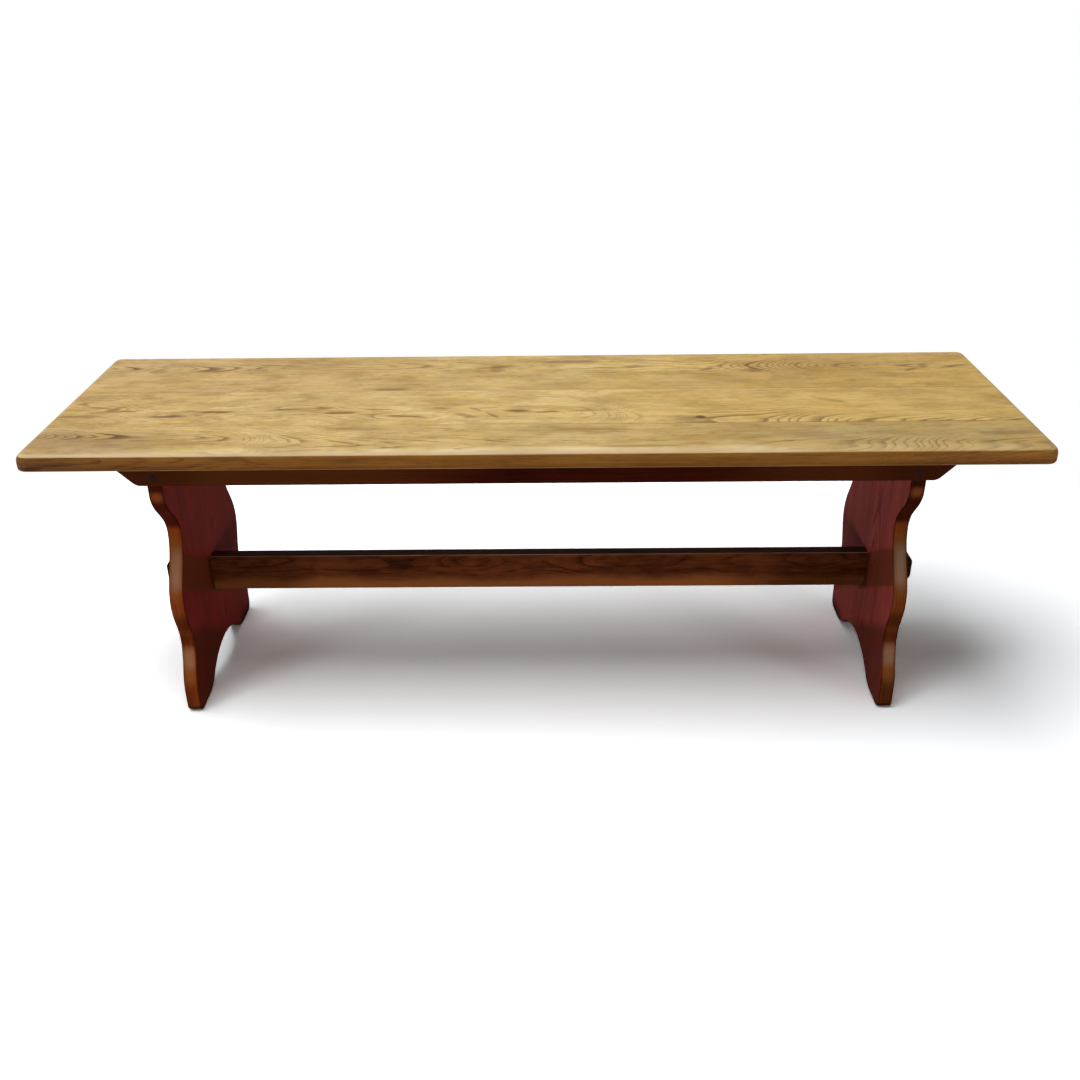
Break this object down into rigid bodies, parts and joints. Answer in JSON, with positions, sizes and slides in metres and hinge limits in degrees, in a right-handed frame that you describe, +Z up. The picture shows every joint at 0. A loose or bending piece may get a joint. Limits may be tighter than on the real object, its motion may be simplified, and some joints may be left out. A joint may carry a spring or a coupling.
{
  "type": "trestle bench",
  "caption": "Long low oak trestle bench with scroll-cut end panels, narrow aprons and a keyed stretcher.",
  "frame": {"origin": "on the floor, under the middle of the top", "axes": "+Z up, +X along the bench, -Y towards the front edge"},
  "size_m": [1.22, 0.362, 0.395],
  "materials": {
    "oak_top": "satin wax over open oak grain, golden and lightly worn",
    "oak_end_panel": "red-brown stain, edges worn to orange brown",
    "oak_apron": "very dark brown stain, satin",
    "oak_stretcher": "dark brown stain, satin, lower edge worn lighter",
    "oak_key": "dark brown stain, satin",
    "oak_cleat": "dark brown stain, unpolished",
    "oak_peg": "end grain, nearly black",
    "screw_steel": "dull, aged"
  },
  "bodies": {
    "root": {"top_board_back": "oak_top", "top_board_middle": "oak_top", "top_board_front": "oak_top", "end_panel_left": "oak_end_panel", "end_panel_right": "oak_end_panel", "apron_front": "oak_apron", "apron_back": "oak_apron", "stretcher": "oak_stretcher", "key_left": "oak_key", "key_right": "oak_key", "cleat_left": "oak_cleat", "cleat_right": "oak_cleat", "apron_pegs": "oak_peg", "top_screws": "screw_steel", "panel_screws": "screw_steel"}
  },
  "joints": []
}
